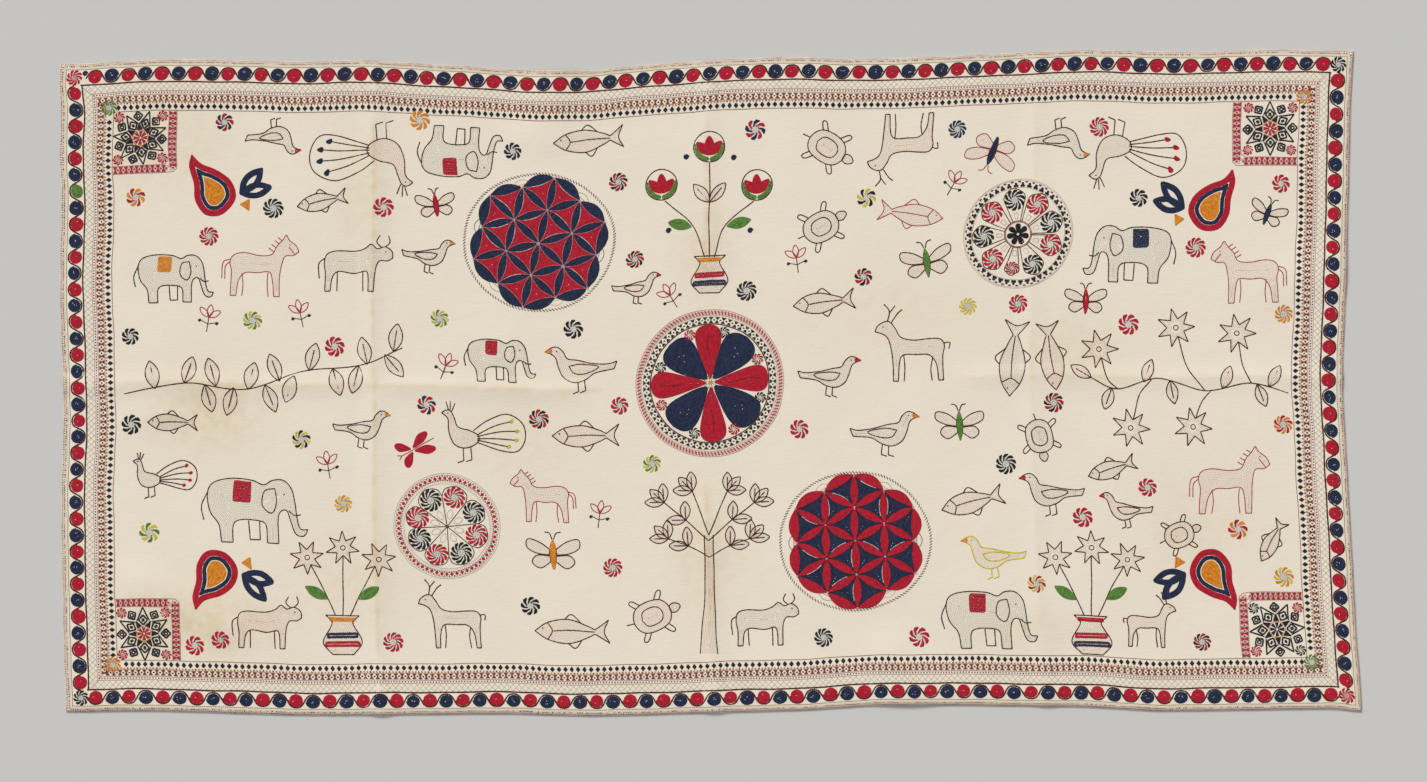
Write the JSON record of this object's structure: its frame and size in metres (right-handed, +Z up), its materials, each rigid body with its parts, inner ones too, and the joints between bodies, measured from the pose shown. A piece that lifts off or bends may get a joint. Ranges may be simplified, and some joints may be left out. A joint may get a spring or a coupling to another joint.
{
  "type": "kantha quilt",
  "caption": "Thin quilted cotton coverlet lying flat, with wavy hemmed sides, quilted border bands, raised stitched medallions and soft storage folds; rests on a surface.",
  "frame": {"origin": "middle of the quilt's outline, on the surface it lies on", "axes": "+X along the quilt's length, +Y across it, +Z up, out of its embroidered face"},
  "size_m": [2.24, 1.146, 0.0075],
  "materials": {
    "cotton": "worn cream cotton muslin, layered and quilted with running stitch, lightly stained along its folds",
    "red_thread": "faded madder red embroidery cotton",
    "blue_thread": "indigo blue embroidery cotton",
    "black_thread": "black embroidery cotton",
    "brown_thread": "dark brown embroidery cotton",
    "bright_thread": "yellow, orange and green embroidery cotton",
    "pale_thread": "pale running-stitch cotton"
  },
  "bodies": {
    "root": {"quilt": "cotton"}
  },
  "joints": []
}
